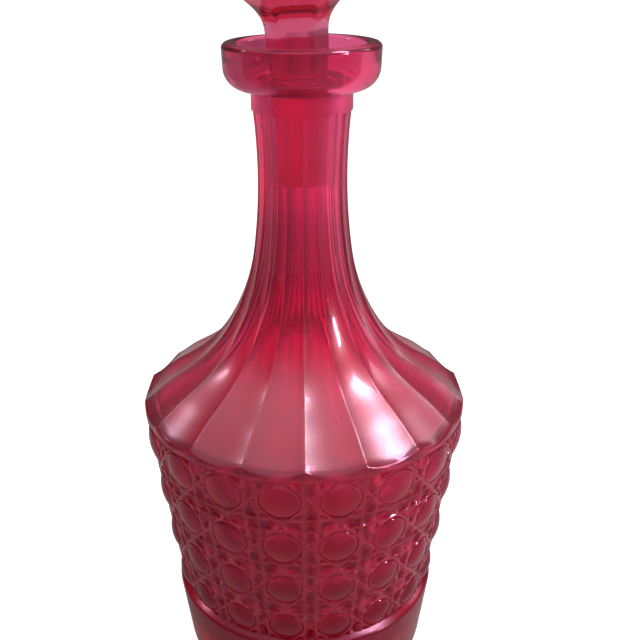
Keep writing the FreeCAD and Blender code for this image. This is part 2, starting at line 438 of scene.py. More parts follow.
# %% Helpers for the net
def split(first, last, longest, scale):
    """Points from first to last, no further apart than a length in millimetres."""
    length = math.hypot((last[0] - first[0]) * scale, last[1] - first[1])
    count = max(1, math.ceil(length / longest))
    return [(first[0] + (last[0] - first[0]) * i / count,
             first[1] + (last[1] - first[1]) * i / count) for i in range(count + 1)]


def clipped(first, last, side, low, high):
    """The part of a segment inside a box of given half width and heights, or None."""
    start, end = 0.0, 1.0
    run = last - first
    for move, room in ((-run.x, first.x + side), (run.x, side - first.x),
                       (-run.y, first.y - low), (run.y, high - first.y)):
        if abs(move) < 1e-9:
            if room < 0.0:
                return None
        elif move < 0.0:
            start = max(start, room / move)
        else:
            end = min(end, room / move)
    if end - start < 0.02:
        return None
    return first + run * start, first + run * end


def on_side(x, z, half):
    """A point moved exactly onto the side of the column where it lies within a hair of it."""
    if abs(abs(x) - half) < 1e-3:
        x = math.copysign(half, x)
    return x, round(z, 3)


def inside_button(x, z, margin):
    """Whether a point lies in a button, or within a margin of it."""
    for row, (top, bottom) in enumerate(rows):
        middle = (top + bottom) / 2.0
        away = math.hypot(x * math.radians(1.0) * root_radius(middle), z - middle)
        if away < button_radius(row) + margin:
            return True
    return False


# %% Net of points and edges of one column
crest_step = 1.1
side_step = 0.9
side_gap = 0.3
button_rings = ((1.0, 36), (0.9, 36), (0.7, 24), (0.46, 16), (0.22, 8))


def pattern_net(ring):
    """Flat points and edges of one column of the pattern, with its buttons in the middle."""
    points, edges = [], []
    half = pitch / 2.0
    scale = math.radians(1.0) * root_radius((pattern_top + pattern_bottom) / 2.0)

    def chain(path):
        start = len(points)
        points.extend(path)
        edges.extend((start + i, start + i + 1) for i in range(len(path) - 1))

    chain([(turn, pattern_top) for turn in ring])
    chain([(turn, pattern_bottom) for turn in ring])
    low, high = pattern_bottom + edge_fade, pattern_top - edge_fade
    touching = set()
    for (x0, z0), (x1, z1) in lines:
        wide, tall = (x1 - x0) * scale, z1 - z0
        length = math.hypot(wide, tall)
        along = Vector((wide, tall)) / length
        for sign in (-1.0, 1.0):
            shift = Vector((-along.y, along.x)) * crest_half * sign
            first = Vector((x0 * scale, z0)) + shift - along * crest_half
            last = Vector((x1 * scale, z1)) + shift + along * crest_half
            piece = clipped(first, last, half * scale, low, high)
            if piece:
                ends = [on_side(end.x / scale, end.y, half) for end in piece]
                touching.update(z for x, z in ends if abs(x) == half)
                chain(split(ends[0], ends[1], crest_step, scale))
    top, bottom = (half, pattern_top), (half, pattern_bottom)
    heights = [z for _x, z in split(top, bottom, side_step, scale)]
    heights = [z for z in heights if min(abs(z - touch) for touch in touching) > side_gap]
    heights = sorted(touching.union(heights))
    for x in (-half, half):
        chain([(x, z) for z in heights])
    for row, (top, bottom) in enumerate(rows):
        middle = (top + bottom) / 2.0
        wide = math.degrees(1.0 / root_radius(middle))
        radius = button_radius(row)
        crown = radius - button_flank
        sizes = [(radius, button_rings[0][1])]
        sizes += [(crown * share, count) for share, count in button_rings]
        for size, count in sizes:
            turns = [2.0 * math.pi * i / count for i in range(count + 1)]
            chain([(wide * size * math.cos(t), middle + size * math.sin(t)) for t in turns])
        points.append((0.0, middle))
    return points, edges, scale


# %% Loose points between the crests
clear_of_crest = 0.32
clear_of_button = 0.4


def lattice(scale, spacing=1.05):
    """Loose points that fill the pits, mirrored about the middle of the column."""
    half = pitch / 2.0
    loose = []
    row_step = spacing * math.sqrt(3.0) / 2.0
    count = int((pattern_top - pattern_bottom) / row_step)
    for j in range(1, count):
        z = pattern_top - j * (pattern_top - pattern_bottom) / count
        shift = 0.0 if j % 2 else 0.5
        i = 0
        while (i + shift) * spacing / scale < half - 0.5 * spacing / scale:
            x = (i + shift) * spacing / scale
            for place in sorted({x, -x}):
                near_crest = crest_distance(place, z) < crest_half + clear_of_crest
                if not near_crest and not inside_button(place, z, clear_of_button):
                    loose.append((place, z))
            i += 1
    return loose


# %% [markdown]
# ## One slice as a mesh
#
# The slice is one mesh: the upper columns, the pattern, and the foot with its hollow. Its
# columns end at the same angles where they meet, so that neighbouring slices weld without a
# gap. Each point keeps four marks from 0 to 1: how much of a crest it is, which the glass paints
# lighter as a highlight; how much painted shade it takes in a pit or beside a ridge; and whether
# it is on a flute or on the inner wall. They become attributes, which the glass reads.


# %% Mesh of the slice
def to_world(radius, height, turn):
    """A point of the slice in metres. The first ridge of the slice stands at turn 0."""
    angle = math.radians(first_ridge + turn)
    return (radius * math.cos(angle) * MM, radius * math.sin(angle) * MM, height * MM)


class Slice:
    """Vertices, faces and marks that grow piece by piece."""

    def __init__(self):
        self.vertices = []
        self.faces = []
        self.marks = []

    def add(self, radius, height, turn, mark):
        self.vertices.append(to_world(radius, height, turn))
        self.marks.append(mark)
        return len(self.vertices) - 1

    def wrap(self, columns, turns, marks):
        """Faces between columns of points, each at its own turn. A point on the axis is a pole."""
        ids = []
        for number, (column, turn) in enumerate(zip(columns, turns)):
            line = []
            for place, (radius, height) in enumerate(column):
                if radius < 1e-6 and number:
                    line.append(ids[0][place])
                else:
                    line.append(self.add(radius, height, turn, marks[number][place]))
            ids.append(line)
        for left, right in zip(ids, ids[1:]):
            for i in range(len(left) - 1):
                face = [left[i], right[i], right[i + 1], left[i + 1]]
                face = list(dict.fromkeys(face))
                if len(face) > 2:
                    self.faces.append(face)


# Within the first reach of a ridge the crest is painted lighter as a highlight; beyond it, out to
# the second reach, the glass takes painted shade.
crest_reach = 0.8
painted_shade_reach = 5.0


def ridge_marks(turn):
    """Crest and painted shade values near a ridge: a thin crest, painted lighter as a highlight,
    with a band of painted shade beside it.
    """
    away = min(turn, pitch - turn)
    crest = max(0.0, 1.0 - away / crest_reach)
    painted_shade = max(0.0, 1.0 - away / painted_shade_reach) if away > crest_reach else 0.0
    return crest, painted_shade, 1.0, 0.0


mark_names = ("crest", "painted_shade", "flute", "inside")
plain = (0.0, 0.0, 0.0, 0.0)
# The lip's bead counts as a crest, so it is painted lighter as a highlight.
lip_edge = (0.8, 0.0, 0.0, 0.0)
inner_mark = (0.0, 0.0, 0.0, 1.0)


# %% Three parts of the slice
def add_upper(piece):
    """Lip, flutes, neck, collar and the inside."""
    turns = ring_turns()
    columns, marks = [], []
    for turn in turns:
        flute = lip_and_flute(turn)
        columns.append(flute + collar + inner)
        mark = [plain] * 2 + [lip_edge] * (bead_steps + 2)
        mark += [ridge_marks(turn)] * (len(flute) - len(mark))
        mark += [plain] * len(collar) + [inner_mark] * len(inner)
        marks.append(mark)
    piece.wrap(columns, turns, marks)


def add_lower(piece):
    """Foot band, rounded foot and the hollow under it."""
    band = foot["band_top"]
    band_radius = root_radius(band) + foot["proud"]
    foot_radius = band_radius - foot["taper"] * band
    kick = foot_radius - foot["corner"] - foot["flat"]
    steps = 8
    column = [(kick * i / steps, foot["kick"] * (1.0 - (i / steps) ** 2)) for i in range(steps)]
    column += rounded([
        (kick, 0.0, 0.0),
        (foot_radius, 0.0, foot["corner"]),
        (band_radius, band, foot["round"]),
        (root_radius(pattern_bottom), pattern_bottom, 0.0),
    ])
    turns = ring_turns()
    piece.wrap([column] * len(turns), turns, [[plain] * len(column)] * len(turns))


def add_pattern(piece):
    """Net of the pattern, lifted to its relief and wrapped round the body."""
    shift = pitch / 2.0 + pattern_turn
    ring = sorted({round((turn - shift + pitch / 2.0) % pitch - pitch / 2.0, 6)
                   for turn in ring_turns()} | {pitch / 2.0})
    points, edges, scale = pattern_net(ring)
    points += lattice(scale)
    flat = [Vector((x * scale, z)) for x, z in points]
    verts, _edges, faces, *_rest = delaunay_2d_cdt(flat, edges, [], 0, 1e-4)
    ids = []
    for vert in verts:
        x, z = vert.x / scale, vert.y
        rise, crest, painted_shade = relief(x, z)
        ids.append(piece.add(root_radius(z) + rise, z, x + shift, (crest, painted_shade, 0.0, 0.0)))
    for face in faces:
        piece.faces.append([ids[i] for i in face])
    print("pattern: %d points, %d faces" % (len(verts), len(faces)))


bottle_slice = Slice()
add_upper(bottle_slice)
add_lower(bottle_slice)
add_pattern(bottle_slice)
print("slice: %d points, %d faces" % (len(bottle_slice.vertices), len(bottle_slice.faces)))


# %% [markdown]
# ## Repeating the slice
#
# The slice is one eighteenth of the bottle, so a short Geometry Nodes tree does the rest. It
# sets the slice on as many points as there are flutes, all on the axis, each turned by its
# share of a full circle, then makes the copies real and welds the seams. The count is a named
# input, so that a mould maker could try more or fewer flutes.


# %% Tree that repeats a slice round the axis
def group_socket(group, name, way, kind, value=None):
    """A named input or output of a node group, with its first value."""
    socket = group.interface.new_socket(name=name, in_out=way, socket_type=kind)
    if value is not None:
        socket.default_value = value


def fill(links, node, values):
    """Links sockets to the inputs of a node in turn, and sets plain values there."""
    for place, value in enumerate(values):
        if isinstance(value, bpy.types.NodeSocket):
            links.new(value, node.inputs[place])
        else:
            node.inputs[place].default_value = value


def maths(nodes, links, operation, *values):
    """A Math node. Each value is a socket or a plain number."""
    node = nodes.new("ShaderNodeMath")
    node.operation = operation
    fill(links, node, values)
    return node.outputs[0]


weld_distance = 0.01 * MM


def round_axis_tree():
    """Copies of a slice, turned round the axis, made real, welded and given their glass."""
    tree = bpy.data.node_groups.new("Repeat round the axis", "GeometryNodeTree")
    group_socket(tree, "Slice", "INPUT", "NodeSocketGeometry")
    group_socket(tree, "Count", "INPUT", "NodeSocketInt", flute_count)
    group_socket(tree, "Weld distance", "INPUT", "NodeSocketFloat", weld_distance)
    group_socket(tree, "Glass", "INPUT", "NodeSocketMaterial")
    group_socket(tree, "Bottle", "OUTPUT", "NodeSocketGeometry")
    nodes, links = tree.nodes, tree.links
    start = nodes.new("NodeGroupInput")
    points = nodes.new("GeometryNodePoints")
    links.new(start.outputs["Count"], points.inputs["Count"])
    index = nodes.new("GeometryNodeInputIndex")
    share = maths(nodes, links, "DIVIDE", index.outputs[0], start.outputs["Count"])
    turn = maths(nodes, links, "MULTIPLY", share, 2.0 * math.pi)
    spin = nodes.new("ShaderNodeCombineXYZ")
    links.new(turn, spin.inputs["Z"])
    copies = nodes.new("GeometryNodeInstanceOnPoints")
    links.new(points.outputs[0], copies.inputs["Points"])
    links.new(start.outputs["Slice"], copies.inputs["Instance"])
    links.new(spin.outputs[0], copies.inputs["Rotation"])
    real = nodes.new("GeometryNodeRealizeInstances")
    links.new(copies.outputs[0], real.inputs[0])
    weld = nodes.new("GeometryNodeMergeByDistance")
    links.new(real.outputs[0], weld.inputs["Geometry"])
    links.new(start.outputs["Weld distance"], weld.inputs["Distance"])
    glaze = nodes.new("GeometryNodeSetMaterial")
    links.new(weld.outputs[0], glaze.inputs["Geometry"])
    links.new(start.outputs["Glass"], glaze.inputs["Material"])
    end = nodes.new("NodeGroupOutput")
    links.new(glaze.outputs[0], end.inputs["Bottle"])
    return tree


# %% Helpers for meshes
def new_mesh_object(name, vertices, faces):
    """An object at the origin, with its place in its mesh."""
    mesh = bpy.data.meshes.new(name)
    mesh.from_pydata(vertices, [], faces)
    mesh.update()
    piece = bpy.data.objects.new(name, mesh)
    bpy.context.scene.collection.objects.link(piece)
    return piece


def with_tree(piece, tree, values):
    """Runs a Geometry Nodes tree on a piece and keeps the result as its plain mesh."""
    modifier = piece.modifiers.new(tree.name, "NODES")
    modifier.node_group = tree
    for item in tree.interface.items_tree:
        if item.item_type == "SOCKET" and item.in_out == "INPUT" and item.name in values:
            modifier[item.identifier] = values[item.name]
    bpy.context.view_layer.update()
    graph = bpy.context.evaluated_depsgraph_get()
    made = bpy.data.meshes.new_from_object(piece.evaluated_get(graph))
    piece.modifiers.remove(modifier)
    old = piece.data
    piece.data = made
    bpy.data.meshes.remove(old)
    made.name = piece.name


def soften(piece, sharp_degrees):
    """Smooth shading, with a crisp edge wherever faces turn by more than an angle."""
    piece.data.shade_smooth()
    piece.data.set_sharp_from_angle(angle=math.radians(sharp_degrees))


def open_edges(mesh):
    """How many edges don't have exactly two faces."""
    work = bmesh.new()
    work.from_mesh(mesh)
    count = sum(1 for edge in work.edges if len(edge.link_faces) != 2)
    work.free()
    return count


# %% [markdown]
# ## Ruby glass
#
# Gold and selenium rubies are coloured right through or flashed with a thin red layer. Light
# loses its green and blue in the first few millimetres, so a thick foot isn't much darker than
# a thin neck. A tint on the surface gives most of this look: each wall that light crosses
# deepens it once. A little absorption inside the glass then darkens the thick places. Fine
# crests take a lighter tone, which is a painted highlight, and are a little rougher. Pits and
# the glass beside the ridges take painted shade, and upright streaks of painted light and shade
# stand in for the room bent through the flutes. A faint unevenness of the surface bends
# reflections as in pressed glass. Both kinds of glass use the same effects, so these are one
# node group.


# %% Helpers for nodes
def vector_maths(nodes, links, operation, *values):
    """A Vector Math node. Each value is a socket or a plain vector."""
    node = nodes.new("ShaderNodeVectorMath")
    node.operation = operation
    fill(links, node, values)
    return node.outputs["Value" if operation == "LENGTH" else "Vector"]


def noise(nodes, links, place, scale, detail):
    """A soft random value from 0 to 1 at each place."""
    texture = nodes.new("ShaderNodeTexNoise")
    texture.inputs["Scale"].default_value = scale
    texture.inputs["Detail"].default_value = detail
    links.new(place, texture.inputs["Vector"])
    return texture.outputs[0]


def soft_step(nodes, links, value, low, high):
    """0 below low and 1 above high, with a soft change between. Low may be above high."""
    step = nodes.new("ShaderNodeMapRange")
    step.interpolation_type = "SMOOTHSTEP"
    step.inputs["From Min"].default_value = low
    step.inputs["From Max"].default_value = high
    links.new(value, step.inputs["Value"])
    return step.outputs[0]


# %% Group of surface effects
def painted_streaks(nodes, links, place):
    """Fine upright streaks, from about -0.5 to 0.5: painted light and shade in place of the room
    bent through the flutes.
    """
    across = vector_maths(nodes, links, "MULTIPLY", place, (1.0, 1.0, 0.0))
    direction = vector_maths(nodes, links, "NORMALIZE", across)
    stretched = vector_maths(nodes, links, "MULTIPLY_ADD", place, (0.0, 0.0, 2.0), direction)
    return maths(nodes, links, "SUBTRACT", noise(nodes, links, stretched, 14.0, 2.0), 0.5)


def pressed_surface_group():
    """Crests painted lighter as a highlight and a little rougher, painted shade in pits and beside
    ridges, painted streaks, seeds and a faint unevenness.
    """
    group = bpy.data.node_groups.new("Pressed glass surface", "ShaderNodeTree")
    group_socket(group, "Tone", "INPUT", "NodeSocketColor", (0.8, 0.2, 0.3, 1.0))
    group_socket(group, "Painted crest tone", "INPUT", "NodeSocketColor", (0.9, 0.5, 0.6, 1.0))
    group_socket(group, "Crest", "INPUT", "NodeSocketFloat", 0.0)
    group_socket(group, "Painted shade", "INPUT", "NodeSocketFloat", 0.0)
    group_socket(group, "Haze", "INPUT", "NodeSocketFloat", 0.1)
    group_socket(group, "Colour", "OUTPUT", "NodeSocketColor")
    group_socket(group, "Roughness", "OUTPUT", "NodeSocketFloat")
    group_socket(group, "Height", "OUTPUT", "NodeSocketFloat")
    nodes, links = group.nodes, group.links
    start = nodes.new("NodeGroupInput")
    place = nodes.new("ShaderNodeTexCoord").outputs["Object"]
    streak = noise(nodes, links, place, 45.0, 2.0)
    # Crests take a lighter tone, which is a painted highlight.
    crest_highlighted_tone = nodes.new("ShaderNodeMix")
    crest_highlighted_tone.data_type = "RGBA"
    links.new(start.outputs["Crest"], crest_highlighted_tone.inputs[0])
    links.new(start.outputs["Tone"], crest_highlighted_tone.inputs[6])
    links.new(start.outputs["Painted crest tone"], crest_highlighted_tone.inputs[7])
    shaded_tone = nodes.new("ShaderNodeVectorMath")
    shaded_tone.operation = "SCALE"
    links.new(crest_highlighted_tone.outputs[2], shaded_tone.inputs[0])
    shade = maths(nodes, links, "MULTIPLY_ADD", streak, 0.20, 0.90)
    # Upright streaks of painted light and shade, in place of the room bent through the flutes.
    shade = maths(nodes, links, "MULTIPLY_ADD", painted_streaks(nodes, links, place), 0.30, shade)
    # Painted shade: darker in the pits, round the buttons and beside the ridges.
    shade = maths(nodes, links, "MULTIPLY_ADD", start.outputs["Painted shade"], -0.28, shade)
    speck = nodes.new("ShaderNodeTexVoronoi")
    speck.inputs["Scale"].default_value = 330.0
    links.new(place, speck.inputs["Vector"])
    near = maths(nodes, links, "LESS_THAN", speck.outputs["Distance"], 0.12)
    patch = maths(nodes, links, "GREATER_THAN", streak, 0.54)
    seed = maths(nodes, links, "MULTIPLY", near, patch)
    shade = maths(nodes, links, "MULTIPLY_ADD", seed, -0.45, shade)
    links.new(shade, shaded_tone.inputs["Scale"])
    ripple = noise(nodes, links, place, 160.0, 1.0)
    height = maths(nodes, links, "MULTIPLY_ADD", seed, -0.9, ripple)
    rough = maths(nodes, links, "MULTIPLY_ADD", streak, 0.05, start.outputs["Haze"])
    rough = maths(nodes, links, "MULTIPLY_ADD", start.outputs["Crest"], 0.05, rough)
    end = nodes.new("NodeGroupOutput")
    links.new(shaded_tone.outputs[0], end.inputs["Colour"])
    links.new(rough, end.inputs["Roughness"])
    links.new(height, end.inputs["Height"])
    return group


pressed_surface = pressed_surface_group()
print("%s: %d nodes" % (pressed_surface.name, len(pressed_surface.nodes)))


# %% [markdown]
# What changes with height is made from the height itself: the tone and four kinds of haze. The
# tone is the glass's colour with painted shade and light in it: deep in the body, paler on the
# lower shoulder and up the neck, darker on the upper shoulder and round the collar. The inside
# of the shoulder carries a film, the lower flutes have a satin lustre, the foot is worn from
# standing, and the shank and its bore are ground so that they seal.


# %% Tone by height
def tone_by_height(nodes, links, height, tones):
    """A colour that changes with height, through (height in mm, colour) pairs."""
    lowest, highest = tones[0][0] * MM, tones[-1][0] * MM
    share = nodes.new("ShaderNodeMapRange")
    share.inputs["From Min"].default_value = lowest
    share.inputs["From Max"].default_value = highest
    links.new(height, share.inputs["Value"])
    ramp = nodes.new("ShaderNodeValToRGB")
    ramp.color_ramp.interpolation = "EASE"
    stops = ramp.color_ramp.elements
    for number, (level, colour) in enumerate(tones):
        where = (level * MM - lowest) / (highest - lowest)
        stop = stops[number] if number < 2 else stops.new(where)
        stop.position = where
        stop.color = (*colour, 1.0)
    links.new(share.outputs[0], ramp.inputs[0])
    return ramp.outputs[0]


# %% Where the glass is hazy
film_span = (112.0, 92.0)
satin_span = (106.0, 96.0)
lustre_span = (126.0, 104.0)
worn_span = (32.0, 26.0)
bore_span = (9.8, 9.4)


def fading_in(nodes, links, measure, span):
    """0 at the first end of a span in millimetres and 1 from its second end on."""
    return soft_step(nodes, links, measure, span[0] * MM, span[1] * MM)


def ground_span(nodes, links, place, height):
    """1 where the stopper and its bore are ground to fit, 0 elsewhere."""
    low, high, soft = bore_top - shank_length, bore_top, 0.3
    above = fading_in(nodes, links, height, (low - soft, low + soft))
    below = fading_in(nodes, links, height, (high + soft, high - soft))
    flat = vector_maths(nodes, links, "MULTIPLY", place, (1.0, 1.0, 0.0))
    radius = vector_maths(nodes, links, "LENGTH", flat)
    within = fading_in(nodes, links, radius, bore_span)
    span = maths(nodes, links, "MULTIPLY", above, below)
    return maths(nodes, links, "MULTIPLY", span, within)


# %% Ruby glass
satin_haze = 0.20
worn_haze = 0.16


def ruby(name, tones, painted_crest_tone, haze, inner_haze, ground_haze):
    """Ruby glass with a tone for each height and its own haze outside, inside and ground."""
    glass = bpy.data.materials.new(name)
    glass.use_nodes = True
    nodes, links = glass.node_tree.nodes, glass.node_tree.links
    shader = nodes["Principled BSDF"]
    shader.inputs["Metallic"].default_value = 0.0
    shader.inputs["Transmission Weight"].default_value = 0.93
    shader.inputs["IOR"].default_value = 1.5
    shader.inputs["Specular Tint"].default_value = (1.0, 0.50, 0.76, 1.0)
    shader.inputs["Coat Roughness"].default_value = 0.30
    place = nodes.new("ShaderNodeTexCoord").outputs["Object"]
    axes = nodes.new("ShaderNodeSeparateXYZ")
    links.new(place, axes.inputs[0])
    height = axes.outputs["Z"]
    surface = nodes.new("ShaderNodeGroup")
    surface.node_tree = pressed_surface
    links.new(tone_by_height(nodes, links, height, tones), surface.inputs["Tone"])
    surface.inputs["Painted crest tone"].default_value = (*painted_crest_tone, 1.0)
    surface.inputs["Haze"].default_value = haze
    marks = {}
    for mark in mark_names:
        marks[mark] = nodes.new("ShaderNodeAttribute")
        marks[mark].attribute_name = mark
    links.new(marks["crest"].outputs["Fac"], surface.inputs["Crest"])
    links.new(marks["painted_shade"].outputs["Fac"], surface.inputs["Painted shade"])
    links.new(surface.outputs["Colour"], shader.inputs["Base Color"])
    film = fading_in(nodes, links, height, film_span)
    film = maths(nodes, links, "MULTIPLY", film, marks["inside"].outputs["Fac"])
    rough = maths(nodes, links, "MULTIPLY_ADD", film, inner_haze - haze,
                  surface.outputs["Roughness"])
    flute = marks["flute"].outputs["Fac"]
    satin = maths(nodes, links, "MULTIPLY", flute,
                  fading_in(nodes, links, height, satin_span))
    rough = maths(nodes, links, "MULTIPLY_ADD", satin, satin_haze, rough)
    worn_foot = fading_in(nodes, links, height, worn_span)
    rough = maths(nodes, links, "MULTIPLY_ADD", worn_foot, worn_haze, rough)
    ground = ground_span(nodes, links, place, height)
    rough = maths(nodes, links, "MULTIPLY_ADD", ground, ground_haze - haze, rough)
    links.new(rough, shader.inputs["Roughness"])
    lustre = maths(nodes, links, "MULTIPLY", flute,
                   fading_in(nodes, links, height, lustre_span))
    links.new(lustre, shader.inputs["Coat Weight"])
    bump = nodes.new("ShaderNodeBump")
    bump.inputs["Strength"].default_value = 0.12
    bump.inputs["Distance"].default_value = 0.3 * MM
    links.new(surface.outputs["Height"], bump.inputs["Height"])
    links.new(bump.outputs[0], shader.inputs["Normal"])
    depth = nodes.new("ShaderNodeVolumeAbsorption")
    depth.inputs["Color"].default_value = (0.96, 0.20, 0.36, 1.0)
    depth.inputs["Density"].default_value = 90.0
    links.new(depth.outputs[0], nodes["Material Output"].inputs["Volume"])
    return glass


# %% Glass of the bottle and of the stopper
# The bottle's tone is its glass colour with painted shade and light in it: deep in the body, paler
# on the lower shoulder and up the neck, darker on the upper shoulder and round the collar.
bottle_tones_with_painted_shade = (
    (0.0, (0.43, 0.015, 0.09)), (40.0, (0.46, 0.015, 0.10)), (70.0, (0.60, 0.02, 0.12)),
    (86.0, (0.78, 0.05, 0.22)), (107.0, (0.96, 0.07, 0.29)), (121.0, (0.66, 0.11, 0.24)),
    (136.0, (0.66, 0.12, 0.25)), (148.0, (0.90, 0.16, 0.36)), (171.0, (1.0, 0.19, 0.48)),
    (176.0, (0.80, 0.14, 0.33)), (185.0, (0.70, 0.14, 0.31)),
)
stopper_tones = (
    (147.0, (1.0, 0.38, 0.72)), (172.0, (1.0, 0.38, 0.68)), (178.0, (0.64, 0.26, 0.42)),
    (217.0, (0.62, 0.22, 0.36)),
)
bottle_glass = ruby("Ruby glass", bottle_tones_with_painted_shade, (0.85, 0.20, 0.34), 0.03, 0.26, 0.36)
stopper_glass = ruby("Stopper glass", stopper_tones, (0.9, 0.5, 0.6), 0.09, 0.09, 0.36)
print("materials: %s, %s" % (bottle_glass.name, stopper_glass.name))

# %% [markdown]
# ## The bottle
#
# The slice gets its marks while it is still one slice, because the tree copies them with it.
# Edges that turn by more than a set angle stay crisp, and the rest is shaded smooth.

# %% Bottle from its slice
bottle = new_mesh_object("bottle", bottle_slice.vertices, bottle_slice.faces)
for name, values in zip(mark_names, zip(*bottle_slice.marks)):
    bottle.data.attributes.new(name, "FLOAT", "POINT").data.foreach_set("value", values)
with_tree(bottle, round_axis_tree(), {"Count": flute_count, "Weld distance": weld_distance,
                                      "Glass": bottle_glass})
soften(bottle, 34.0)
print("bottle: %d faces, %d open edges" % (len(bottle.data.polygons), open_edges(bottle.data)))

# %% [markdown]
# ## The stopper
#
# Below the rim the stopper is a tapered round shank, ground to fit its bore. Above it, the
# stem is six-sided and spreads into a head with cut slopes. All of it is one stack of rings
# with the same number of points: round rings for the shank, then six-sided ones whose corners
# are slightly rounded, as fire polishing leaves them. The stem leans a little.

# %% Rings of the stopper
ring_points = 72
stem_rows = 48
stem = {"sides": 6, "lean": 2.9, "offset": 0.6, "corner": 0.9, "inset": 1.28, "sink": 1.6}
stem_heights = (6.0, 13.3, 15.4, 17.2, 19.0, 20.9, 23.0, 25.6, 28.6)
stem_radii = (7.9, 8.1, 8.5, 9.4, 10.9, 12.9, 15.0, 16.9, 18.0)
crown = ((18.2, 4.0), (14.2, 10.0), (8.6, 13.5))
shank_top = bore_top_radius - shank_clearance
shank_bottom = bore_bottom_radius - shank_clearance


def flat_sided(apothem, rounding):
    """A ring with flat sides and rounded corners. A corner points along +X."""
    ring = []
    half = math.pi / stem["sides"]
    corner_distance = (apothem - rounding) / math.cos(half)
    for i in range(ring_points):
        angle = 2.0 * math.pi * i / ring_points
        side = round(angle / (2.0 * half) - 0.5)
        middle = (side + 0.5) * 2.0 * half
        off = angle - middle
        reach = apothem / math.cos(off)
        straight = math.atan2((apothem - rounding) * math.tan(half), apothem)
        if abs(off) > straight:
            to_corner = half - abs(off)
            reach = corner_distance * math.cos(to_corner)
            reach += math.sqrt(rounding ** 2 - (corner_distance * math.sin(to_corner)) ** 2)
        ring.append((reach * math.cos(angle), reach * math.sin(angle)))
    return ring


def round_ring(radius):
    """A round ring with as many points as a flat-sided one."""
    turns = [2.0 * math.pi * i / ring_points for i in range(ring_points)]
    return [(radius * math.cos(t), radius * math.sin(t)) for t in turns]


def leaning(x, y, height):
    """A point of the stem, leaned over from the foot of the stem."""
    angle = math.radians(-stem["lean"])
    return (x * math.cos(angle) + height * math.sin(angle) - stem["offset"], y,
            height * math.cos(angle) - x * math.sin(angle) + bore_top)


# %% Mesh of the stopper
def stopper_rings():
    """The lowest point, the rings from the shank up to the crown, and the highest point."""
    flat = math.cos(math.pi / stem["sides"])
    rings = []
    profile = rounded([
        (0.0, bore_top - shank_length, 0.0),
        (shank_bottom, bore_top - shank_length, 0.8),
        (shank_top, bore_top, 0.48),
        (shank_top - stem["inset"], bore_top, 0.0),
    ])
    for radius, height in profile[1:-1]:
        rings.append([(x, y, height) for x, y in round_ring(radius)])
    side_points = [((shank_top - stem["inset"]) * flat, -stem["sink"])]
    side_points += [(r * flat, h) for r, h in zip(stem_radii, stem_heights)]
    side, _knots = smooth_line(side_points, (0.0, 1.0), (0.25, 1.0))
    stack = [tuple(side(i / stem_rows)[0]) for i in range(stem_rows)]
    stack = [point for point in stack if point[1] > 0.05]
    girdle = stem_heights[-1]
    outline = [(stem_radii[-1] * flat, girdle, 0.0)]
    outline += [(r * flat, girdle + h, 0.7) for r, h in crown]
    outline.append((0.0, girdle + crown[-1][1], 0.0))
    stack += rounded(outline, 12.0)[:-1]
    for apothem, height in stack:
        rounding = min(stem["corner"], apothem * 0.3)
        rings.append([leaning(x, y, height) for x, y in flat_sided(apothem, rounding)])
    bottom = (0.0, 0.0, bore_top - shank_length)
    top = leaning(0.0, 0.0, girdle + crown[-1][1])
    return bottom, rings, top


def stopper_mesh():
    """Rings joined by faces, closed by a point below and a point above."""
    bottom, rings, top = stopper_rings()
    vertices = [bottom] + [point for ring in rings for point in ring] + [top]
    vertices = [(x * MM, y * MM, z * MM) for x, y, z in vertices]
    faces = []
    for i in range(ring_points):
        j = (i + 1) % ring_points
        faces.append((0, 1 + j, 1 + i))
        for level in range(len(rings) - 1):
            low = 1 + level * ring_points
            faces.append((low + i, low + j, low + ring_points + j, low + ring_points + i))
        last = 1 + (len(rings) - 1) * ring_points
        faces.append((last + i, last + j, len(vertices) - 1))
    return new_mesh_object("ground_stopper", vertices, faces)


stopper = stopper_mesh()
stopper.data.materials.append(stopper_glass)
soften(stopper, 40.0)
print("stopper: %d faces, %d open edges" % (len(stopper.data.polygons), open_edges(stopper.data)))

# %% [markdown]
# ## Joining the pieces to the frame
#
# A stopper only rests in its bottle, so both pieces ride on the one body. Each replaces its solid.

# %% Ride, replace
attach(bottle, "root")
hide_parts("decanter")
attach(stopper, "root")
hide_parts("stopper")
print("bottle and stopper ride on the root body")

# %% [markdown]
# ## Floor
#
# The ground is white without more light on the glass: rays from the camera see a floor that
# glows under its own shading, and the shading part still darkens in the shadow of the bottle.
# Rays that come through the glass see the glow fall off towards the left, as it does on a table
# with a window at its right, which gives the body its darker side. Mirrored rays see a darker
# floor, because a strong white reflection from below would turn the red to pink.


# %% White floor
floor_glow = 0.80
floor_paleness = 0.55
mirrored_paleness = 0.22
mirror_share = 0.12
left_share = 0.25
falloff_span = (-0.11, 0.04)


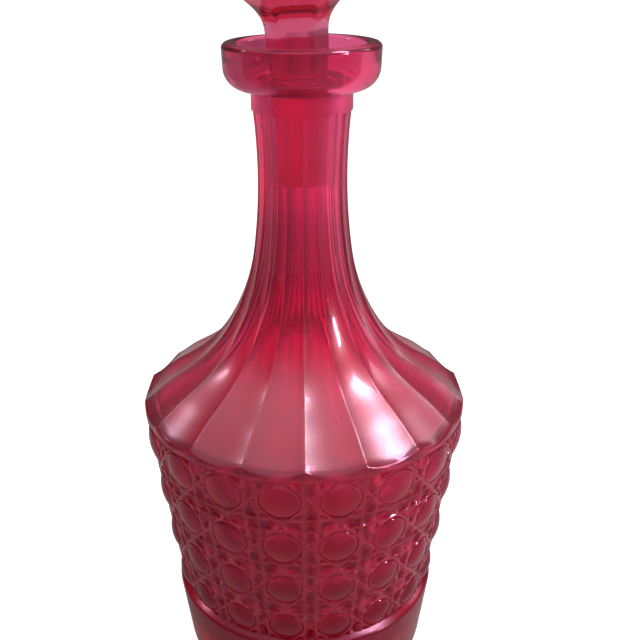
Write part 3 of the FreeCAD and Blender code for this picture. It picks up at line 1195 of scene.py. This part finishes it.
def floor_material():
    """White ground that is plain to the camera, lopsided through glass and dark in mirrors."""
    ground = bpy.data.materials.new("White ground")
    ground.use_nodes = True
    nodes, links = ground.node_tree.nodes, ground.node_tree.links
    shader = nodes["Principled BSDF"]
    shader.inputs["Roughness"].default_value = 0.9
    shader.inputs["Emission Color"].default_value = (1.0, 1.0, 1.0, 1.0)
    axes = nodes.new("ShaderNodeSeparateXYZ")
    links.new(nodes.new("ShaderNodeTexCoord").outputs["Object"], axes.inputs[0])
    rightward = soft_step(nodes, links, axes.outputs["X"], *falloff_span)
    falloff = maths(nodes, links, "MULTIPLY_ADD", rightward, 1.0 - left_share, left_share)
    path = nodes.new("ShaderNodeLightPath")
    through = maths(nodes, links, "MULTIPLY", path.outputs["Is Transmission Ray"], falloff)
    mirrored = maths(nodes, links, "MULTIPLY", path.outputs["Is Glossy Ray"], mirror_share)
    paleness = maths(nodes, links, "MULTIPLY_ADD", path.outputs["Is Glossy Ray"],
                     mirrored_paleness - floor_paleness, floor_paleness)
    links.new(paleness, shader.inputs["Base Color"])
    seen = maths(nodes, links, "MAXIMUM", path.outputs["Is Camera Ray"], through)
    seen = maths(nodes, links, "MAXIMUM", seen, mirrored)
    links.new(maths(nodes, links, "MULTIPLY", seen, floor_glow), shader.inputs["Emission Strength"])
    return ground


floor_half = 6.0
corners = [(x * floor_half, y * floor_half, 0.0) for x, y in ((-1, -1), (1, -1), (1, 1), (-1, 1))]
floor = new_mesh_object("floor", corners, [(0, 1, 2, 3)])
floor.data.materials.append(floor_material())
print("floor %.0f m across" % (2.0 * floor_half))

# %% [markdown]
# ## Camera
#
# The camera stands close, a little above the rim, and looks down over the shoulder. Its
# distance and height are counted from the rim, because the ring of the collar is what shows
# best how far one looks down on a bottle.

# %% Camera
camera_data = bpy.data.cameras.new("camera")
camera = bpy.data.objects.new("camera", camera_data)
bpy.context.scene.collection.objects.link(camera)
bpy.context.scene.camera = camera
camera_distance = 230.2
camera_above_rim = 25.3
look_down = 23.70
roll = -0.384
camera_data.lens = 50.02
camera_data.sensor_width = 36.0
camera_data.shift_x = 0.0257
camera_data.clip_start = 0.01
camera.location = (0.0, -camera_distance * MM, (rim + camera_above_rim) * MM)
camera.rotation_mode = "QUATERNION"
tilt = Quaternion((1.0, 0.0, 0.0), math.radians(90.0 - look_down))
camera.rotation_quaternion = tilt @ Quaternion((0.0, 0.0, 1.0), math.radians(roll))
print("camera %.0f mm in front of the axis, looking %.1f degrees down"
      % (camera_distance, look_down))

# %% [markdown]
# ## Light
#
# The sky is dim at the horizon and brighter overhead, like a room with a pale ceiling, so that
# the shoulder takes a sheen and the upright walls stay clear. Three soft lamps give the window
# reflections on the flutes: each is placed where the middle of the chosen flute mirrors it to
# the camera. A fourth, low at the right, draws small glints on the cut pattern there.


# %% World
world = bpy.data.worlds.new("world")
bpy.context.scene.world = world
world.use_nodes = True
background = world.node_tree.nodes["Background"]
background.inputs["Color"].default_value = (1.0, 1.0, 1.0, 1.0)
horizon_light = 0.10
zenith_light = 1.40
sky_rise = (0.45, 1.0)


def light_the_world():
    """A pale sky, brighter overhead, that is plain white where the camera sees it."""
    nodes, links = world.node_tree.nodes, world.node_tree.links
    axes = nodes.new("ShaderNodeSeparateXYZ")
    links.new(nodes.new("ShaderNodeTexCoord").outputs["Generated"], axes.inputs[0])
    overhead = soft_step(nodes, links, axes.outputs["Z"], *sky_rise)
    sky = maths(nodes, links, "MULTIPLY_ADD", overhead, zenith_light - horizon_light,
                horizon_light)
    path = nodes.new("ShaderNodeLightPath")
    seen = maths(nodes, links, "MAXIMUM", path.outputs["Is Camera Ray"],
                 path.outputs["Is Transmission Ray"])
    unseen = maths(nodes, links, "SUBTRACT", 1.0, seen)
    sky = maths(nodes, links, "MULTIPLY_ADD", sky, unseen, seen)
    links.new(sky, background.inputs["Strength"])


light_the_world()
print("sky from %.2f at the horizon to %.2f overhead" % (horizon_light, zenith_light))


# %% Lamps
def mirrored_spot(turn, height, distance):
    """Where a lamp stands so that a place on the shoulder mirrors it to the camera."""
    low, high = 0.0, 1.0
    for _ in range(40):
        middle = (low + high) / 2.0
        point, way = ridge_line(middle)
        low, high = (middle, high) if point[1] > height else (low, middle)
    angle = math.radians(first_ridge + turn)
    normal = Vector((-way[1] * math.cos(angle), -way[1] * math.sin(angle), way[0]))
    place = Vector(to_world(point[0], point[1], turn))
    to_camera = (camera.location - place).normalized()
    towards = (2.0 * normal.dot(to_camera) * normal - to_camera).normalized()
    return place, place + towards * distance


def area_lamp(name, target, spot, size, brightness):
    """A rectangular lamp that faces a target. Its watts follow from its size and brightness."""
    data = bpy.data.lights.new(name, "AREA")
    data.shape = "RECTANGLE"
    data.size, data.size_y = size
    data.energy = brightness * math.pi * size[0] * size[1]
    data.color = (1.0, 0.95, 1.0)
    lamp = bpy.data.objects.new(name, data)
    bpy.context.scene.collection.objects.link(lamp)
    lamp.location = spot
    lamp.rotation_mode = "QUATERNION"
    lamp.rotation_quaternion = (target - spot).to_track_quat("-Z", "Y")
    print("%s at %s" % (name, [round(v, 2) for v in spot]))


area_lamp("window", *mirrored_spot(27.0, 92.5, 0.9), (0.22, 0.26), 32.0)
area_lamp("left window", *mirrored_spot(-46.0, 101.0, 1.3), (0.14, 0.20), 16.0)
area_lamp("right window", *mirrored_spot(53.0, 90.0, 1.3), (0.30, 0.34), 4.0)
area_lamp("side window", Vector((0.0, 0.0, 0.05)), Vector((0.74, -0.34, 0.40)), (0.10, 0.16), 60.0)

# %% [markdown]
# ## Colour
#
# The colours are shown as they are, without a film look.

# %% Colour management
bpy.context.scene.view_settings.view_transform = "Standard"
